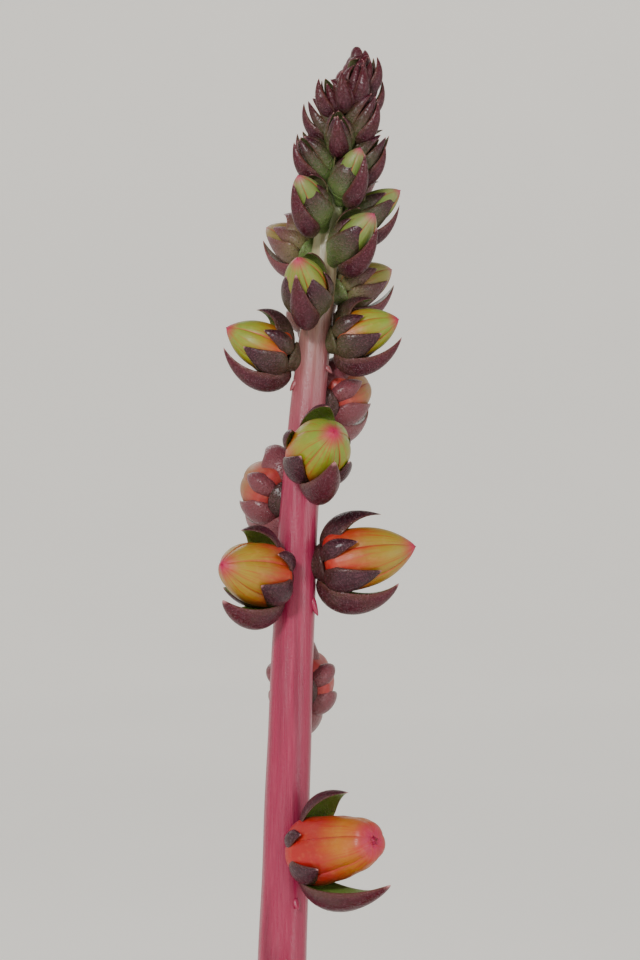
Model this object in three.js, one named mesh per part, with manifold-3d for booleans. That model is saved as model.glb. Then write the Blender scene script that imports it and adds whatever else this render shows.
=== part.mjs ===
// A potted echeveria in flower: a plain clay pot, gritty soil, a loose rosette of fleshy leaves, and one
// flowering stem that carries a spiral of five-sided blooms and, at its tip, a head of unopened buds.
// Millimetres, +Z up, with the front at -Y. The origin is the centre of the pot's underside.
import * as THREE from "three";
import { mergeVertices } from "three/addons/utils/BufferGeometryUtils.js";
import Module from "manifold-3d";

const wasm = await Module();
wasm.setup();

// Driving dimensions
const GAP = 0.3; // clearance between solids that meet
const POT_HEIGHT = 90;
const POT_RIM_RADIUS = 55;
const POT_RIM_DEPTH = 21;
const POT_COLLAR = 3.2; // how far the rim stands proud of the body
const POT_FOOT_RADIUS = 37;
const POT_WALL = 5;
const POT_FLOOR = 7;
const POT_SIDES = 36;
const DRAIN_RADIUS = 7;
const SOIL_TOP = 79;
const SOIL_MOUND = 2.5;
const SOIL_GRIT = 0.7; // height of the soil's lumps
const CAUDEX_RADIUS = 6;
const CAUDEX_DEPTH = 15; // how deep the short rosette stem stands in the soil
const CAUDEX_TOP = 95;
const CAUDEX_SIDES = 14;
const LEAF_COUNT = 22;
const LEAF_LENGTH = 48; // the oldest leaf, at the bottom of the rosette
const HEART_LEAF_LENGTH = 14;
const LEAF_WIDTH = 18;
const LEAF_THICKNESS = 4.6;
const STEM_LEAF_COUNT = 8;
const STEM_LEAVES = [127, 189]; // the heights between which the flowering stem has leaves
const BLOOM_LENGTH = 10; // a full-grown flower tube
const BLOOM_RADIUS = 4.05;
const PEDICEL = 0.75; // how far a bloom's base stands off the stem
const BLOOMS_FROM = 197; // the rows below count the blooms' heights up from here
const FULL_GROWN = 60; // up to this height above BLOOMS_FROM they are full grown
const TAPER = 0.12; // and from there a tube is this much shorter for each millimetre up
const HEAD_FROM = 295; // above this the stem belongs to the head of buds
const GOLDEN_ANGLE = 137.5;

// The flowering stem's centre line, from the crown of the rosette to the tip, and its radius along it
const STEM_POINTS = [
  [1.4, -4, 90],
  [2.1, -8.8, 98.5],
  [1.9, -10.4, 110],
  [1.8, -9, 130],
  [2.5, -5.5, 160],
  [4.05, -2.2, 197],
  [5.1, -1, 229.5],
  [6.25, -0.4, 254.5],
  [7.7, 0, 271],
  [9.4, 0, 285.5],
  [11.3, 0, 298],
  [13.1, 0, 308.5],
];
const STEM_RADII = [3.7, 3.7, 3.6, 3.5, 3.3, 3.05, 2.68, 2.4, 2.1, 1.7, 1.25, 0.5];

// The sepals of a bloom: the way each stands, how far along the tube it reaches on an old and on a young
// bloom, its width, how far it turns towards its tip and how far it stands off the tube
const SEPALS = [
  [90, 0.74, 0.9, 5, 0, 1.45],
  [153, 0.45, 0.84, 2.7, 0, 0],
  [27, 0.45, 0.84, 2.7, 0, 0],
  [229, 0.64, 0.93, 4.9, -16, 0],
  [311, 0.64, 0.93, 4.9, 16, 0],
];

// Each bloom's height, the way it faces (0 is +X, -90 the front), its extra lift, its roll and how long
// its tube is for its height
const BLOOMS = [
  [14.1, -49, 0.5, 0, 1.31],
  [33.5, 78, 0, 0, 1],
  [47.9, -133, -5, -4, 0.97],
  [49.5, -4, -5, 0, 1.155],
  [57.5, 122, 2, 0, 0.9],
  [62.3, -72, 2.5, 6, 1],
  [69.5, 50, -1, 0, 1],
  [75.2, -172, 6, 0, 1.02],
  [77.3, -10, -2, 4, 1],
  [80.5, 98, 0, 0, 1],
  [81.6, -106, 13, 8, 1.05],
  [83.4, 24, -5, 0, 1.05],
  [88, -46, 2, 10, 1.08],
  [88.6, 146, -8, 0, 1.05],
  [91, 70, 0, 0, 1],
];

// The same for the buds, which are shut and mostly hidden by their sepals
const BUDS = [
  [92.3, -124, 8, 0, 1],
  [91.9, 4, -6, 0, 1.2],
  [96, 118, 0, 0, 1],
  [95.6, -58, 9, 0, 1],
  [97.5, 46, 0, 0, 1],
];

// And for the smallest buds, which crowd the tip
const TIP_BUDS = [
  [98.6, -154, 0, 0, 1],
  [98.4, -12, -2, 0, 1.25],
  [99.8, 92, 0, 0, 1],
  [100.2, 158, 0, 0, 1],
  [101.4, -95, 0, 0, 1],
  [102.7, 50, 0, 0, 1],
  [103.8, 178, -2, 0, 1],
  [103.4, -34, -2, 0, 1.15],
  [104.5, 115, 0, 0, 1],
  [106.3, -148, 2, 0, 1],
  [106.8, -102, 5, 0, 0.8],
  [106.6, 8, 0, 0, 1.1],
  [107.4, -60, 14, 0, 1.2],
  [108.4, 100, 4, 0, 1],
  [109, -15, 8, 0, 1],
  [110.2, 55, 8, 0, 1],
];

// Materials
const coat = (color, roughness) => new THREE.MeshStandardMaterial({ color, roughness, metalness: 0 });
const CLAY = coat(0xb5694a, 0.9);
const SOIL = coat(0x4a3a2e, 1);
const LEAF = coat(0x6f9a5e, 0.45);
const STEM = coat(0xb8475a, 0.4);
const SEPAL = coat(0x5c3238, 0.4);
const PETAL = coat(0xe0853a, 0.45);
const YOUNG_PETAL = coat(0xb9c27a, 0.45);
const BUD = coat(0x63303a, 0.4);

// Solids: closed geometries in, joined or cut, closed geometry out
function bareCopy(geometry) {
  const bare = geometry.clone();
  bare.deleteAttribute("normal");
  bare.deleteAttribute("uv");
  return mergeVertices(bare, 1e-4);
}

function solidOf(geometry) {
  const merged = bareCopy(geometry);
  return new wasm.Manifold(
    new wasm.Mesh({
      numProp: 3,
      vertProperties: merged.attributes.position.array,
      triVerts: new Uint32Array(merged.index.array),
    }),
  );
}

const joined = (geometries) => geometries.map(solidOf).reduce((whole, piece) => whole.add(piece));

// The largest body of a solid, so that a scrap cut loose by a neighbour is dropped
const largestBody = (solid) =>
  solid.decompose().reduce((best, body) => (body.volume() > best.volume() ? body : best));

function geometryOf(solid) {
  const mesh = solid.getMesh();
  const geometry = new THREE.BufferGeometry();
  geometry.setAttribute("position", new THREE.BufferAttribute(mesh.vertProperties, 3));
  geometry.setIndex(new THREE.BufferAttribute(mesh.triVerts, 1));
  return geometry;
}

// A copy of a closed geometry whose surface is moved outwards by `distance`
function swollen(geometry, distance) {
  const copy = bareCopy(geometry);
  copy.computeVertexNormals();
  const { position, normal } = copy.attributes;
  const reach = distance * 1.4; // the faces beside a corner move less than the corner does
  for (let i = 0; i < position.count; i++) {
    const point = new THREE.Vector3().fromBufferAttribute(position, i);
    point.addScaledVector(new THREE.Vector3().fromBufferAttribute(normal, i), reach);
    position.setXYZ(i, point.x, point.y, point.z);
  }
  return copy;
}

// Turns a closed geometry's faces to point outwards
function rightWayOut(geometry) {
  if (solidOf(geometry).volume() > 0) return geometry;
  const order = geometry.index.array;
  for (let i = 0; i < order.length; i += 3) [order[i], order[i + 1]] = [order[i + 1], order[i]];
  return geometry;
}

// A ball of `sides` by `rows` whose rings, from row 0 to the last, are laid where pointAt(row, turn) says
function ringed(sides, rows, pointAt) {
  const geometry = new THREE.SphereGeometry(1, sides, rows);
  const { position } = geometry.attributes;
  for (let i = 0; i < position.count; i++) {
    const height = THREE.MathUtils.clamp(position.getY(i), -1, 1);
    const row = Math.round((Math.acos(height) / Math.PI) * rows);
    const point = pointAt(row, Math.atan2(position.getZ(i), position.getX(i)));
    position.setXYZ(i, point.x, point.y, point.z);
  }
  return rightWayOut(geometry);
}

const standUp = (geometry) => geometry.rotateX(Math.PI / 2); // a lathe turns about Y
const mix = (a, b, t) => a + (b - a) * t;
const sine = (degrees) => Math.sin(THREE.MathUtils.degToRad(degrees));
const cosine = (degrees) => Math.cos(THREE.MathUtils.degToRad(degrees));
const facing = (degrees) => new THREE.Vector3(cosine(degrees), sine(degrees), 0);

// A profile that is 0 at both ends and 1 at its fullest: `rise` shapes the root, `fall` the tip
function fullness(t, rise, fall) {
  const peak = rise / (rise + fall);
  const most = peak ** rise * (1 - peak) ** fall;
  return (t ** rise * (1 - t) ** fall) / most;
}

// A fleshy blade drawn out along a curve, round on its outer side and cupped on its inner side.
// `inner` is the way its inner side faces at the root.
function blade({ midline, inner, width, thickness, cup, rise, fall, sides, rows }) {
  const across = new THREE.Vector3().crossVectors(midline.getTangent(0), inner).normalize();
  return ringed(sides, rows, (row, turn) => {
    const t = 1 - (1 - row / rows) ** 1.35; // the rings are closer together towards the tip
    const full = fullness(t, rise, fall);
    const sideways = Math.cos(turn) * full;
    const depth = Math.sin(turn) * full * thickness * (Math.sin(turn) < 0 ? 0.62 : 0.38);
    const normal = new THREE.Vector3().crossVectors(across, midline.getTangent(t));
    return midline
      .getPoint(t)
      .addScaledVector(across, (sideways * width) / 2)
      .addScaledVector(normal, depth + cup * sideways ** 2 * width);
  });
}

const group = new THREE.Group();

function place(name, geometry, material) {
  const mesh = new THREE.Mesh(geometry, material);
  mesh.name = name;
  group.add(mesh);
}

// Pot
const bodyRadius = (z) => mix(POT_FOOT_RADIUS, POT_RIM_RADIUS - POT_COLLAR, z / POT_HEIGHT);
const innerRadius = (z) => bodyRadius(z) - POT_WALL;

function pot() {
  const shoulder = POT_HEIGHT - POT_RIM_DEPTH;
  const profile = [
    [DRAIN_RADIUS, 0],
    [POT_FOOT_RADIUS - 0.8, 0],
    [bodyRadius(1.5), 1.5],
    [bodyRadius(shoulder), shoulder],
    [POT_RIM_RADIUS - 1.9, shoulder + 0.7],
    [POT_RIM_RADIUS, POT_HEIGHT - 2.5],
    [POT_RIM_RADIUS - 2.2, POT_HEIGHT],
    [innerRadius(POT_HEIGHT) + 1.2, POT_HEIGHT],
    [innerRadius(POT_HEIGHT - 2), POT_HEIGHT - 2],
    [innerRadius(POT_FLOOR), POT_FLOOR],
    [DRAIN_RADIUS, POT_FLOOR],
    [DRAIN_RADIUS, 0],
  ].map(([r, z]) => new THREE.Vector2(r, z));
  return rightWayOut(standUp(new THREE.LatheGeometry(profile, POT_SIDES)));
}

// Soil
const fineLumps = (x, y) => Math.sin(x * 0.83 + 1.3) * Math.cos(y * 0.71);
const broadLumps = (x, y) => Math.sin(x * 0.37 - y * 0.52 + 0.6) * 0.8;

function soil() {
  const rings = 5;
  const wall = innerRadius(SOIL_TOP) - GAP;
  const bottom = POT_FLOOR + GAP;
  const profile = [new THREE.Vector2(0, bottom), new THREE.Vector2(innerRadius(bottom) - GAP, bottom)];
  for (let i = 0; i <= rings; i++) {
    const inwards = i / rings;
    const height = SOIL_TOP + SOIL_MOUND * sine(inwards * 90);
    profile.push(new THREE.Vector2(wall * (1 - inwards), height));
  }
  const heap = standUp(new THREE.LatheGeometry(profile, POT_SIDES));
  const { position } = heap.attributes;
  for (let i = 0; i < position.count; i++) {
    const [x, y, z] = [position.getX(i), position.getY(i), position.getZ(i)];
    const fromAxis = Math.hypot(x, y);
    const inTop = z > SOIL_TOP - 1 && fromAxis < wall - 1 && fromAxis > 0.01;
    if (inTop) position.setZ(i, z + SOIL_GRIT * (fineLumps(x, y) + broadLumps(x, y)));
  }
  const holeRadius = CAUDEX_RADIUS + GAP;
  const holeHeight = 2 * CAUDEX_DEPTH;
  const hole = standUp(new THREE.CylinderGeometry(holeRadius, holeRadius, holeHeight, CAUDEX_SIDES));
  hole.translate(0, 0, SOIL_TOP - CAUDEX_DEPTH + holeHeight / 2);
  return geometryOf(solidOf(rightWayOut(heap)).subtract(solidOf(hole)));
}

// Flowering stem
const stemLine = new THREE.CatmullRomCurve3(
  STEM_POINTS.map((point) => new THREE.Vector3(...point)),
  false,
  "centripetal",
);

function stemRadius(t) {
  const along = t * (STEM_RADII.length - 1);
  const i = Math.min(Math.floor(along), STEM_RADII.length - 2);
  return mix(STEM_RADII[i], STEM_RADII[i + 1], along - i);
}

// The curve parameter at which the stem reaches a height
function stemAt(height) {
  let low = 0;
  let high = 1;
  for (let i = 0; i < 30; i++) {
    const middle = (low + high) / 2;
    if (stemLine.getPoint(middle).z < height) low = middle;
    else high = middle;
  }
  return low;
}

// The stem between two curve parameters, flat at both ends, with `extra` added all round
function stemPiece(from, to, extra, sides, rows) {
  return ringed(sides, rows, (row, turn) => {
    const pole = row === 0 || row === rows;
    const t = mix(from, to, THREE.MathUtils.clamp((row - 1) / (rows - 2), 0, 1));
    const radius = pole ? 0 : stemRadius(t) + extra;
    const tangent = stemLine.getTangent(t);
    const right = new THREE.Vector3(1, 0, 0).addScaledVector(tangent, -tangent.x).normalize();
    const back = new THREE.Vector3().crossVectors(tangent, right);
    return stemLine
      .getPoint(t)
      .addScaledVector(tangent, row < 2 ? -extra : row > rows - 2 ? extra : 0)
      .addScaledVector(right, Math.cos(turn) * radius)
      .addScaledVector(back, Math.sin(turn) * radius);
  });
}

const stemPieceBelowHead = (extra) => stemPiece(0, stemAt(HEAD_FROM), extra, 10, 28);

// The small leaves of the bare part of the stem, which stand up along it
function stemLeaf(i) {
  const share = i / (STEM_LEAF_COUNT - 1);
  const t = stemAt(mix(...STEM_LEAVES, share));
  const out = facing(35 + i * GOLDEN_ANGLE);
  const root = stemLine.getPoint(t).addScaledVector(out, stemRadius(t) - 1.2);
  const length = mix(15, 10.5, share);
  const at = (outwards, up) =>
    root
      .clone()
      .addScaledVector(out, outwards * length)
      .setZ(root.z + up * length);
  return blade({
    midline: new THREE.CubicBezierCurve3(root, at(0.34, 0.1), at(0.5, 0.55), at(0.5, 0.95)),
    inner: new THREE.Vector3(0, 0, 1),
    width: length * 0.34,
    thickness: length * 0.2,
    cup: 0.08,
    rise: 0.6,
    fall: 0.7,
    sides: 6,
    rows: 5,
  });
}

function flowerStem() {
  const leaves = Array.from({ length: STEM_LEAF_COUNT }, (_, i) => stemLeaf(i));
  return geometryOf(joined([stemPieceBelowHead(0), ...leaves]));
}

// Rosette
const HEART = new THREE.Vector3(0.4, 1.8, 0); // the young leaves stand behind the flowering stem
const STEM_SIDE = -78; // the way the stem leaves the rosette
const STEM_ROOM = 27; // no upper leaf comes nearer to it than this

function rosetteLeaf(i) {
  const age = 1 - i / (LEAF_COUNT - 1); // 1 is the oldest
  const length = mix(HEART_LEAF_LENGTH, LEAF_LENGTH, age ** 0.62);
  let direction = 20 + i * GOLDEN_ANGLE;
  const off = THREE.MathUtils.euclideanModulo(direction - STEM_SIDE + 180, 360) - 180;
  if (age < 0.72 && Math.abs(off) < STEM_ROOM) direction = STEM_SIDE + Math.sign(off) * STEM_ROOM;
  const out = facing(direction);
  const rootRise = mix(74, 4, age ** 0.75);
  const tipRise = mix(92, 34, age ** 0.9);
  const root = HEART.clone()
    .multiplyScalar(1 - age)
    .addScaledVector(out, mix(0.5, 3, age))
    .setZ(mix(CAUDEX_TOP, SOIL_TOP + 6.5, age));
  const step = (from, rise) =>
    from
      .clone()
      .addScaledVector(out, (cosine(rise) * length) / 3)
      .setZ(from.z + (sine(rise) * length) / 3);
  const lower = step(root, rootRise);
  const upper = step(lower, (rootRise + tipRise) / 2);
  return blade({
    midline: new THREE.CubicBezierCurve3(root, lower, upper, step(upper, tipRise)),
    inner: new THREE.Vector3(0, 0, 1).addScaledVector(out, -1),
    width: mix(0.5, LEAF_WIDTH / LEAF_LENGTH, age) * length,
    thickness: mix(2.6, LEAF_THICKNESS, age),
    cup: 0.1,
    rise: 0.85,
    fall: 0.5,
    sides: 6,
    rows: 7,
  });
}

function rosette() {
  const height = CAUDEX_TOP - SOIL_TOP + CAUDEX_DEPTH - GAP;
  const topRadius = CAUDEX_RADIUS * 0.8;
  const caudex = standUp(new THREE.CylinderGeometry(topRadius, CAUDEX_RADIUS, height, CAUDEX_SIDES));
  caudex.translate(0, 0, CAUDEX_TOP - height / 2);
  const leaves = Array.from({ length: LEAF_COUNT }, (_, i) => rosetteLeaf(i));
  return geometryOf(largestBody(joined([caudex, ...leaves]).subtract(stemRoom)));
}

// Blooms and buds
const stemRoom = solidOf(stemPieceBelowHead(GAP));
const youth = (height) => THREE.MathUtils.smoothstep(height, 45, 108);
const riseOf = (height) => 10 + height * 0.12 + Math.max(height - 76, 0) * 1.15;
const lengthOf = (height) => BLOOM_LENGTH - TAPER * Math.max(height - FULL_GROWN, 0);

// Where a bloom sits: `along` is its axis, `up` leads towards the stem's tip and `side` is across both
function bloomFrame([height, direction, lift, roll, stretch], pedicel = PEDICEL) {
  const t = stemAt(BLOOMS_FROM + height);
  const rise = riseOf(height) + lift;
  const out = facing(direction);
  const along = out.clone().multiplyScalar(cosine(rise)).setZ(sine(rise));
  const up = out.clone().multiplyScalar(-sine(rise)).setZ(cosine(rise));
  const side = new THREE.Vector3().crossVectors(along, up);
  const base = stemLine.getPoint(t).addScaledVector(out, stemRadius(t) + pedicel);
  const steepness = sine(rise) / cosine(rise);
  const size = lengthOf(height) / BLOOM_LENGTH;
  return {
    base,
    along,
    up,
    side,
    steepness,
    roll,
    length: lengthOf(height) * stretch,
    radius: BLOOM_RADIUS * size ** 1.3,
    scale: size ** 0.8,
    youth: youth(height),
  };
}

// A point of a bloom: `s` along its axis and `r` out from it towards `turn`, where 90 degrees is up
function inBloom({ base, along, up, side }, s, r, turn) {
  return base
    .clone()
    .addScaledVector(along, s)
    .addScaledVector(up, r * sine(turn))
    .addScaledVector(side, r * cosine(turn));
}

// How wide a shut tube is, as a share of its greatest radius, a share `s` of the way along it
const tubeWidth = (s) => (s < 0.16 ? 1 - 0.28 * (1 - s / 0.16) ** 3 : 1 - ((s - 0.16) / 0.84) ** 3);

// The rings of the tube from its base to its tip: [share of its length, share of its radius]
const ringsAt = (shares) => [[0, 0], ...shares.map((s) => [s, tubeWidth(s)]), [1, 0]];
const SHUT_TUBE = ringsAt([0, 0.1, 0.42, 0.72, 0.9]);
const BUD_TUBE = ringsAt([0, 0.2, 0.7]);
const BLUNT_TUBE = [
  [0, 0],
  [0, 1],
  [0.12, 1.1],
  [0.42, 1.02],
  [0.72, 0.85],
  [0.9, 0.64],
  [0.98, 0.42],
  [1, 0],
];

// The flower tube: five keeled petals, joined at the base, that meet in five seams
function flowerTube(frame, rings) {
  return ringed(10, rings.length - 1, (row, turn) => {
    const step = Math.round(THREE.MathUtils.radToDeg(turn) / 36);
    const [s, r] = rings[row];
    const keel = step % 2 === 0 ? 1 : 0.88;
    const from = GAP + 0.25 * frame.radius * frame.steepness;
    return inBloom(frame, from + s * frame.length, r * frame.radius * keel, 126 + frame.roll + step * 36);
  });
}

// A blade of the calyx through four points given as [s, r] in millimetres, which turns by `twist` towards
// its tip. The second and third lean forward where the bloom's upper side has to clear the stem.
function calyxBlade(frame, turn, points, { twist = 0, ...form }) {
  const midline = points.map(([s, r], i) => {
    const way = turn + twist * [0, 0, 0.5, 1][i];
    const forward = [0, 0.9, 0.4, 0][i] * Math.max(sine(way), 0) * frame.steepness * r;
    return inBloom(frame, s + forward, r, way);
  });
  return blade({
    midline: new THREE.CubicBezierCurve3(...midline),
    inner: frame.along,
    rise: 0.7,
    fall: 0.7,
    rows: 4,
    ...form,
  });
}

// One sepal, held further off the tube by `spread`
function sepal(frame, [turn, oldReach, youngReach, width, twist, stand], spread) {
  const { scale, radius, length } = frame;
  const thickness = Math.max((turn < 180 ? 1.1 : 1.4) * scale, 0.8);
  const shorter = stand > 0 ? 0 : 0.24 * spread;
  const reach = mix(oldReach, youngReach, frame.youth) * length * (1 - shorter);
  const clear = GAP * 1.9 + thickness * 0.4;
  const off = (stand + 0.2) * scale + (stand > 0 ? spread : 0);
  const points = [
    [-0.5 * scale, 0.5 * radius],
    [0.1 * scale, radius + clear + off],
    [reach * 0.5, radius * 1.02 + clear + off],
    [reach, tubeWidth(reach / length) * radius + clear + off + spread * 0.5],
  ];
  return calyxBlade(frame, turn + frame.roll, points, {
    twist,
    width: width * scale * mix(1, 1.2, frame.youth),
    thickness,
    cup: stand > 0 ? 0.34 : 0.1,
    sides: 4,
  });
}

// The bract below the bloom, which holds it like a boat
function bract(frame, spread) {
  const { scale, youth: young } = frame;
  const points = [
    [-1, 1.2],
    [-0.9, mix(6.4, 5.7, young) + spread * 0.8],
    [5.2 + spread * 2, mix(7.3, 6.3, young) + spread * 0.8],
    [mix(9, 10.4, young) + spread * 6, mix(4.2, 1.8, young ** 0.6) + spread * 1.2],
  ].map((point) => point.map((value) => value * scale));
  const thickness = Math.max(2.1 * scale, 1);
  return calyxBlade(frame, 270, points, { width: 5 * scale, thickness, cup: 0.34, sides: 5 });
}

// The base that joins the sepals of a bloom and meets the stem: [s, r] of its rings
const RECEPTACLE = [
  [-2.6, 0],
  [-2.5, 1.6],
  [-0.3, 2.9],
  [-0.3, 0],
];

function calyx(frame, spread) {
  const receptacle = ringed(6, RECEPTACLE.length - 1, (row, turn) => {
    const [s, r] = RECEPTACLE[row].map((value) => value * frame.scale);
    return inBloom(frame, s, r, THREE.MathUtils.radToDeg(turn));
  });
  return [receptacle, ...SEPALS.map((row) => sepal(frame, row, spread)), bract(frame, spread)];
}

// Adds a bloom, cut clear of the stem and of the blooms placed before it
const placed = [];

function cutClear(geometries, centre, reach) {
  const near = placed.filter((other) => other.centre.distanceTo(centre) < other.reach + reach);
  return near.reduce((solid, other) => solid.subtract(other.room), joined(geometries).subtract(stemRoom));
}

function addBloom(name, row, rings, spread, material) {
  const frame = bloomFrame(row);
  const centre = inBloom(frame, frame.length / 2, 0, 0);
  const reach = 8 * frame.scale;
  const tube = flowerTube(frame, rings);
  const blades = calyx(frame, spread);
  const calyxSolid = cutClear(blades, centre, reach).subtract(solidOf(swollen(tube, GAP)));
  place(`${name}_calyx`, geometryOf(largestBody(calyxSolid)), SEPAL);
  place(`${name}_petals`, geometryOf(largestBody(cutClear([tube], centre, reach))), material);
  placed.push({ centre, reach, room: joined([...blades, tube].map((piece) => swollen(piece, GAP))) });
}

// The head: the end of the stem with the smallest buds, each a ridged bud in its bract
function tipBud(row) {
  const frame = bloomFrame(row, 0.2);
  const { scale, length } = frame;
  const bud = ringed(5, 3, (ring, turn) => {
    const s = [-0.3, 0.12, 0.6, 1.05][ring] * length;
    const r = [0, 3.3, 3.1, 0][ring] * scale;
    return inBloom(frame, s, r, THREE.MathUtils.radToDeg(turn) + 30);
  });
  const points = [
    [-1.6, 0.3],
    [-0.7, 4.5],
    [4.6, 5.3],
    [9, 1.7],
  ].map((point) => point.map((value) => value * scale));
  const form = { width: 4.8 * scale, thickness: Math.max(2.2 * scale, 0.9), cup: 0.2, sides: 4, rows: 3 };
  return [bud, calyxBlade(frame, 270, points, form)];
}

function budHead() {
  const core = stemPiece(stemAt(HEAD_FROM + GAP), 1, 0, 8, 6);
  const solid = joined([core, ...TIP_BUDS.flatMap(tipBud)]).subtract(stemRoom);
  return geometryOf(largestBody(placed.reduce((rest, other) => rest.subtract(other.room), solid)));
}

place("pot", pot(), CLAY);
place("soil", soil(), SOIL);
place("rosette", rosette(), LEAF);
place("flower_stem", flowerStem(), STEM);
const numbered = (word, i) => `${word}_${String(i + 1).padStart(2, "0")}`;
BLOOMS.forEach((row, i) => {
  const oldest = i === 0;
  addBloom(numbered("bloom", i), row, oldest ? BLUNT_TUBE : SHUT_TUBE, oldest ? 1 : 0, PETAL);
});
BUDS.forEach((row, i) => addBloom(numbered("bud", i), row, BUD_TUBE, 0, YOUNG_PETAL));
place("bud_head", budHead(), BUD);

export default group;
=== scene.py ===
"""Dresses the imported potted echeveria: its pot, soil, rosette, flower stem, blooms and buds.

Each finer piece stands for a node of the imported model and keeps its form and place. The shapes are
worked out in millimetres and scaled to metres when a piece is finished.
"""

import math
import random
from collections import namedtuple

import bmesh
import bpy
from bpy.props import FloatProperty, FloatVectorProperty, IntProperty, PointerProperty
from mathutils import Matrix, Vector, noise


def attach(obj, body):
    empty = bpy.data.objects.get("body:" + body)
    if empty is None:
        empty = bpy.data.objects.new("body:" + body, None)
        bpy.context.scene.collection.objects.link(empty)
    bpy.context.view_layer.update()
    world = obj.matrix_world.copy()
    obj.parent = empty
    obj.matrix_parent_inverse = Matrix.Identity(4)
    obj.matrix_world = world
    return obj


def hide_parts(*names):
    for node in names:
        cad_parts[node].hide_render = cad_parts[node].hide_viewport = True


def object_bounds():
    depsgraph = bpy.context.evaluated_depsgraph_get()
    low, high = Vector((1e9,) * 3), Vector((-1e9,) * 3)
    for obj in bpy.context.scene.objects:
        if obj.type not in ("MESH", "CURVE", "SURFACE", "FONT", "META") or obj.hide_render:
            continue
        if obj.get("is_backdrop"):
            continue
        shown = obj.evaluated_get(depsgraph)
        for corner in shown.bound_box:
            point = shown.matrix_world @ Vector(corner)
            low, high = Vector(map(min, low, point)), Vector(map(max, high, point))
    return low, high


bl_info = {
    "name": "Potted Echeveria",
    "version": (1, 0, 0),
    "blender": (4, 5, 0),
    "location": "3D View > Sidebar > Echeveria",
    "description": "Adds the finer pieces, finishes and studio of a flowering echeveria in its pot",
    "category": "Add Mesh",
}

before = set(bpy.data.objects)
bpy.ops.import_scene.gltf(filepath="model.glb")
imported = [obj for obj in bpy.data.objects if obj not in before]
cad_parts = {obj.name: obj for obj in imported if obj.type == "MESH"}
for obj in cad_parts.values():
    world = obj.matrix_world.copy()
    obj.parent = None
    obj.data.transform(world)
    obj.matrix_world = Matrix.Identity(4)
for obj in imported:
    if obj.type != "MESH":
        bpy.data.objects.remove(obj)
CAD_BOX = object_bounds()
MM = 0.001
UP = Vector((0, 0, 1))

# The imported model's own values, in millimetres and degrees, which the finer pieces keep to
GAP = 0.3
POT_HEIGHT = 90
POT_RIM_RADIUS = 55
POT_RIM_DEPTH = 21
POT_COLLAR = 3.2
POT_FOOT_RADIUS = 37
POT_WALL = 5
POT_FLOOR = 7
DRAIN_RADIUS = 7
SOIL_TOP = 79
SOIL_MOUND = 2.5
CAUDEX_RADIUS = 6
CAUDEX_DEPTH = 15
CAUDEX_TOP = 95
LEAF_COUNT = 22
LEAF_LENGTH = 48
HEART_LEAF_LENGTH = 14
LEAF_WIDTH = 18
LEAF_THICKNESS = 4.6
STEM_LEAF_COUNT = 8
STEM_LEAVES = (127, 189)
BLOOM_LENGTH = 10
BLOOM_RADIUS = 4.05
PEDICEL = 0.75
TIP_PEDICEL = 0.2
BLOOMS_FROM = 197
FULL_GROWN = 60
TAPER = 0.12
GOLDEN_ANGLE = 137.5
HEART = Vector((0.4, 1.8, 0))  # the rosette's middle
STEM_SIDE = -78  # the way from there to the flower stem
STEM_ROOM = 27  # how far the younger leaves keep clear of it, to either side
FIRST_LEAF = 20  # the way in which the oldest leaf points
FIRST_STEM_LEAF = 35  # and the lowest leaf on the flower stem
ROOT_RISES = (74, 4)  # how steeply a leaf of the rosette starts, in its heart and at its foot
TIP_RISES = (92, 34)  # and how steeply its tip rises
STEM_LEAF_LENGTHS = (15, 10.5)  # the lowest and the topmost

# How steeply a bloom stands: at BLOOMS_FROM, for each millimetre above it and, where they crowd, for
# each above STEEPER_FROM besides
RISE = 10
RISE_PER_MM = 0.12
STEEPER_FROM = 76
STEEPENING = 1.15

PETALS = 5
PETAL_THICKNESS = 0.8
PETAL_REACH = 1.1  # how far a petal goes round the tube for its share of it, which laps the next one
TUBE_FULLEST = 0.16  # where along a tube it is widest
TUBE_NARROWING = 0.28  # how much narrower it is at its root

STEM_LINE = [
    (1.4, -4, 90),
    (2.1, -8.8, 98.5),
    (1.9, -10.4, 110),
    (1.8, -9, 130),
    (2.5, -5.5, 160),
    (4.05, -2.2, 197),
    (5.1, -1, 229.5),
    (6.25, -0.4, 254.5),
    (7.7, 0, 271),
    (9.4, 0, 285.5),
    (11.3, 0, 298),
    (13.1, 0, 308.5),
]
STEM_POINTS = [Vector(point) for point in STEM_LINE]
STEM_RADII = [3.7, 3.7, 3.6, 3.5, 3.3, 3.05, 2.68, 2.4, 2.1, 1.7, 1.25, 0.5]

# Each bloom's height above BLOOMS_FROM, the way it faces (-90 is the front), its extra lift, its roll
# and how long its tube is for its height
BLOOMS = [
    (14.1, -49, 0.5, 0, 1.31),
    (33.5, 78, 0, 0, 1),
    (47.9, -133, -5, -4, 0.97),
    (49.5, -4, -5, 0, 1.155),
    (57.5, 122, 2, 0, 0.9),
    (62.3, -72, 2.5, 6, 1),
    (69.5, 50, -1, 0, 1),
    (75.2, -172, 6, 0, 1.02),
    (77.3, -10, -2, 4, 1),
    (80.5, 98, 0, 0, 1),
    (81.6, -106, 13, 8, 1.05),
    (83.4, 24, -5, 0, 1.05),
    (88, -46, 2, 10, 1.08),
    (88.6, 146, -8, 0, 1.05),
    (91, 70, 0, 0, 1),
]
BUDS = [
    (92.3, -124, 8, 0, 1),
    (91.9, 4, -6, 0, 1.2),
    (96, 118, 0, 0, 1),
    (95.6, -58, 9, 0, 1),
    (97.5, 46, 0, 0, 1),
]
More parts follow.
